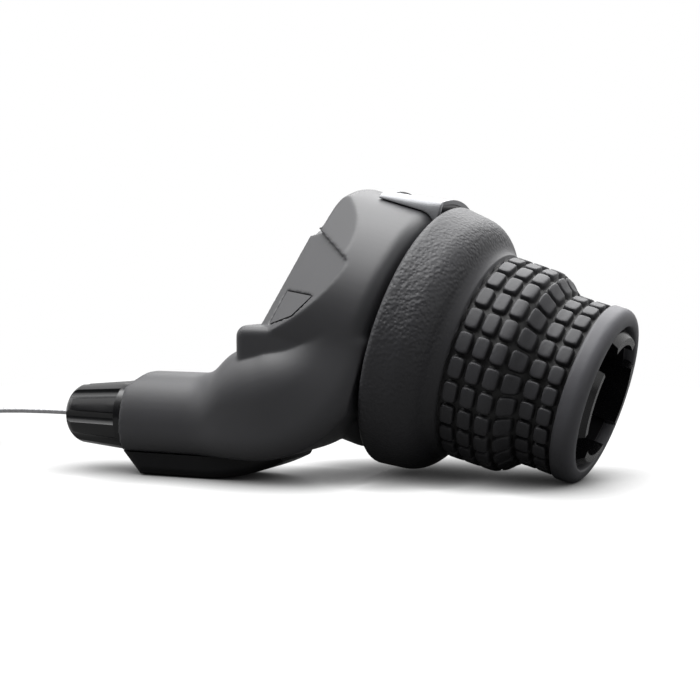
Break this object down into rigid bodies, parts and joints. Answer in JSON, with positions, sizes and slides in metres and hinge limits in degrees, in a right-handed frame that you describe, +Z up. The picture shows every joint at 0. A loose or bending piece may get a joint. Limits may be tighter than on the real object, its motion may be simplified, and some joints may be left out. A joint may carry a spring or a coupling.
{
  "type": "twist grip shifter",
  "caption": "Handlebar twist shifter: a moulded housing with a cable arm, barrel adjuster and gear window, and a turning rubber grip that winds the cable.",
  "frame": {"origin": "on the handlebar's axis, at the inboard face of the turning grip", "axes": "+X along the bar towards the rider's open end, +Z up, the cable arm on the -Y side"},
  "size_m": [0.1755, 0.0551, 0.0974],
  "materials": {
    "housing_grey": "satin moulded",
    "black_plastic": "satin moulded",
    "zinc_steel": "zinc plated",
    "black_steel": "black oxide",
    "silver_plastic": "silver painted",
    "clear_lens": "clear",
    "dial_white": "printed",
    "spring_steel": "spring steel",
    "cable_steel": "stranded steel",
    "grip_rubber": "matte moulded",
    "pointer_orange": "moulded",
    "knob_black": "glossy moulded"
  },
  "bodies": {
    "fixed_side": {"housing": "housing_grey", "arm_cover": "black_plastic", "cover_screws": "zinc_steel", "port_cover": "housing_grey", "bar_sleeve": "black_plastic", "sleeve_screws": "zinc_steel", "clamp_band": "zinc_steel", "clamp_bolt": "black_steel", "clamp_nut": "zinc_steel", "indicator_bezel": "silver_plastic", "indicator_lens": "clear_lens", "gear_dial": "dial_white", "detent_spring": "spring_steel", "cable_run": "cable_steel", "cable_free": "cable_steel", "cable_coil": "cable_steel", "coil_tie": "black_plastic"},
    "turning_grip": {"rotor": "black_plastic", "grip_rubber": "grip_rubber", "gear_pointer": "pointer_orange", "cable_nipple": "cable_steel", "cable_wrap": "cable_steel"},
    "adjuster_spring": {"adjuster_spring": "spring_steel"},
    "adjuster": {"adjuster_knob": "knob_black", "adjuster_bolt": "zinc_steel"}
  },
  "joints": [
    {"name": "grip_twist", "type": "hinge", "parent": "fixed_side", "child": "turning_grip", "pos_m": [0, 0, 0], "axis": [-1, 0, 0], "range_deg": [0, 60], "deforming": ["detent_spring"]},
    {"name": "adjuster_travel", "type": "slide", "parent": "fixed_side", "child": "adjuster_spring", "axis": [-0.9578, 0, -0.2874], "range_m": [0, 0.0024], "deforming": ["adjuster_spring"]},
    {"name": "adjuster_turn", "type": "hinge", "parent": "adjuster_spring", "child": "adjuster", "pos_m": [-0.04973, -0.01662, -0.03275], "axis": [-0.9578, 0, -0.2874], "range_deg": [0, 1080]}
  ],
  "couplings": [
    {"joint": "adjuster_turn", "follows": "adjuster_travel", "rad_per_m": 7854}
  ]
}
